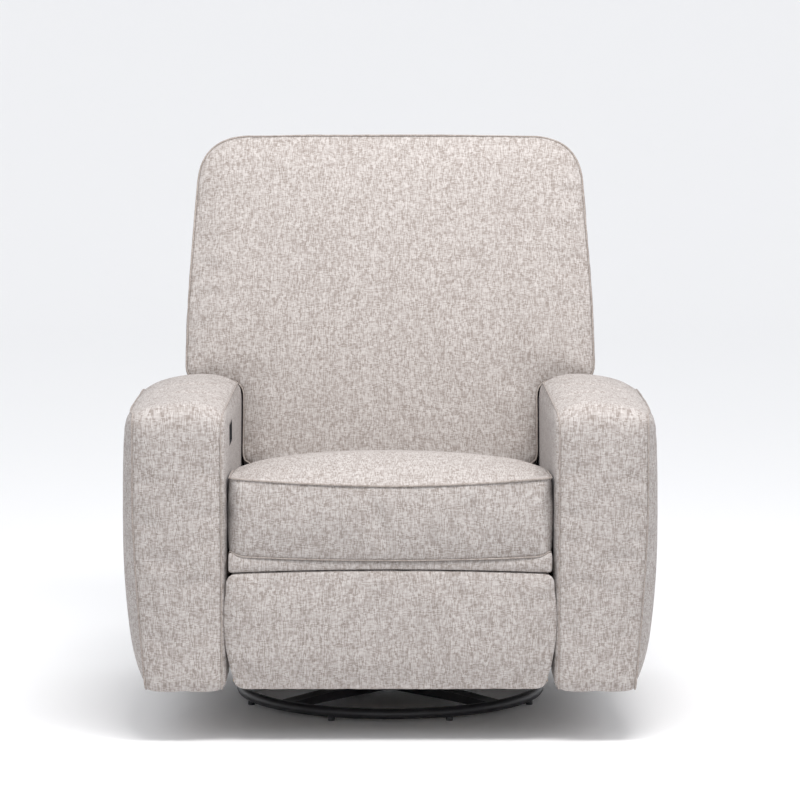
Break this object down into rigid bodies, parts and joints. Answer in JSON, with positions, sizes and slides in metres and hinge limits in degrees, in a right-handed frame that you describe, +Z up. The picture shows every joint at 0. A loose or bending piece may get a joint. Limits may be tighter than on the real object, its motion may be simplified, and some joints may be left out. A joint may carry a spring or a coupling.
{
  "type": "swivel glider recliner chair",
  "caption": "Upholstered nursery glider chair with swivel ring base, hanging glide links, reclining T-shaped back, fold-out footrest and inside-arm release handle.",
  "frame": {"origin": "on the floor under the swivel axis, which is the centre of the footprint", "axes": "+Z up, the sitter faces -Y, +X is the sitter's left"},
  "size_m": [0.916, 0.91, 1.0127],
  "materials": {
    "upholstery": "greige heathered chenille, slubbed weave",
    "timber": "planed softwood and plywood",
    "black_steel": "satin black powder coat",
    "mechanism_steel": "dark grey e-coat",
    "zinc_steel": "zinc plated",
    "spring_steel": "oiled spring wire",
    "nylon": "natural nylon",
    "black_plastic": "fine-grained black plastic",
    "cable_sheath": "black cable sheath"
  },
  "bodies": {
    "base": {"base_ring": "black_steel", "base_cross": "black_steel", "floor_glides": "black_plastic", "lower_race": "mechanism_steel", "swivel_balls": "zinc_steel", "swivel_bolt": "zinc_steel"},
    "carriage": {"upper_race": "mechanism_steel", "carriage_frame": "black_steel", "hanger_plates": "black_steel", "hanger_pins": "zinc_steel", "carriage_bolts": "zinc_steel"},
    "rear_links": {"rear_glide_links": "mechanism_steel", "rear_link_bushes": "nylon"},
    "front_links": {"front_glide_links": "mechanism_steel", "front_link_bushes": "nylon"},
    "chair": {"side_plate_left": "mechanism_steel", "side_plate_right": "mechanism_steel", "rocker_pins": "zinc_steel", "tie_tubes": "mechanism_steel", "seat_angles": "mechanism_steel", "arm_frame_left": "timber", "arm_frame_right": "timber", "arm_cover_left": "upholstery", "arm_cover_right": "upholstery", "arm_bolts": "zinc_steel", "arm_sleeves": "zinc_steel", "seat_frame": "timber", "seat_springs": "spring_steel", "seat_cushion": "upholstery", "front_rail_cover": "upholstery", "rear_panel": "upholstery", "release_cup": "black_plastic", "lever_pin": "zinc_steel", "release_cable": "cable_sheath", "cable_clip": "mechanism_steel", "latch_pin": "zinc_steel", "back_hinge_pins": "zinc_steel", "footrest_plates": "mechanism_steel", "footrest_sleeves": "zinc_steel", "footrest_bolts": "zinc_steel", "footrest_pins": "zinc_steel"},
    "lever": {"release_lever": "black_plastic"},
    "pawl": {"latch_pawl": "zinc_steel"},
    "back": {"back_hinge_arms": "mechanism_steel", "back_frame": "timber", "back_cushion": "upholstery", "outside_back": "upholstery"},
    "drive": {"torque_tube": "mechanism_steel", "drive_links": "mechanism_steel", "drive_rivets": "zinc_steel"},
    "lift": {"lift_links": "mechanism_steel", "lift_rivets": "zinc_steel"},
    "guide": {"guide_links": "mechanism_steel"},
    "control": {"control_links": "mechanism_steel"},
    "panel": {"bracket_left": "mechanism_steel", "bracket_right": "mechanism_steel", "bracket_rivets": "zinc_steel", "bracket_screws": "zinc_steel", "footrest_board": "timber", "footrest_pad": "upholstery"}
  },
  "joints": [
    {"name": "swivel", "type": "hinge", "parent": "base", "child": "carriage", "pos_m": [0, 0, 0.0375], "axis": [0, 0, 1], "continuous": true},
    {"name": "glide", "type": "hinge", "parent": "carriage", "child": "rear_links", "pos_m": [0, 0.1, 0.24], "axis": [-1, 0, 0], "range_deg": [-18, 18]},
    {"name": "front_link_swing", "type": "hinge", "parent": "carriage", "child": "front_links", "pos_m": [0, -0.1, 0.24], "axis": [-1, 0, 0], "range_deg": [-18, 18]},
    {"name": "chair_hang", "type": "hinge", "parent": "rear_links", "child": "chair", "pos_m": [0, 0.1, 0.095], "axis": [-1, 0, 0], "range_deg": [-18, 18]},
    {"name": "back_recline", "type": "hinge", "parent": "chair", "child": "back", "pos_m": [0, 0.17, 0.3], "axis": [-1, 0, 0], "range_deg": [0, 30]},
    {"name": "footrest", "type": "hinge", "parent": "chair", "child": "drive", "pos_m": [0, -0.27, 0.25], "axis": [-1, 0, 0], "range_deg": [0, 145]},
    {"name": "lift_link_fold", "type": "hinge", "parent": "drive", "child": "lift", "pos_m": [0, -0.12278, 0.165], "axis": [-1, 0, 0], "range_deg": [-111.1, 0]},
    {"name": "guide_link_swing", "type": "hinge", "parent": "chair", "child": "guide", "pos_m": [0, -0.2651, 0.2164], "axis": [-1, 0, 0], "range_deg": [0, 139.3]},
    {"name": "control_link_fold", "type": "hinge", "parent": "drive", "child": "control", "pos_m": [0, -0.1365, 0.19163], "axis": [-1, 0, 0], "range_deg": [-112.9, 0]},
    {"name": "panel_tilt", "type": "hinge", "parent": "lift", "child": "panel", "pos_m": [0, -0.355, 0.18941], "axis": [-1, 0, 0], "range_deg": [0, 56.1]},
    {"name": "release_pull", "type": "hinge", "parent": "chair", "child": "lever", "pos_m": [-0.286, -0.27, 0.522], "axis": [0, -1, 0], "range_deg": [0, 28], "stiffness_Nm_per_rad": 0.02, "springref_deg": -5.73},
    {"name": "latch_lift", "type": "hinge", "parent": "chair", "child": "pawl", "pos_m": [-0.209, -0.212, 0.272], "axis": [-1, 0, 0], "range_deg": [0, 15.1]}
  ],
  "couplings": [
    {"joint": "front_link_swing", "follows": "glide", "ratio": 1},
    {"joint": "chair_hang", "follows": "glide", "ratio": -1},
    {"joint": "lift_link_fold", "follows": "footrest", "ratio": -0.766},
    {"joint": "guide_link_swing", "follows": "footrest", "ratio": 0.9603},
    {"joint": "control_link_fold", "follows": "footrest", "ratio": -0.7783},
    {"joint": "panel_tilt", "follows": "footrest", "ratio": 0.38669},
    {"joint": "latch_lift", "follows": "release_pull", "ratio": 0.53571}
  ]
}
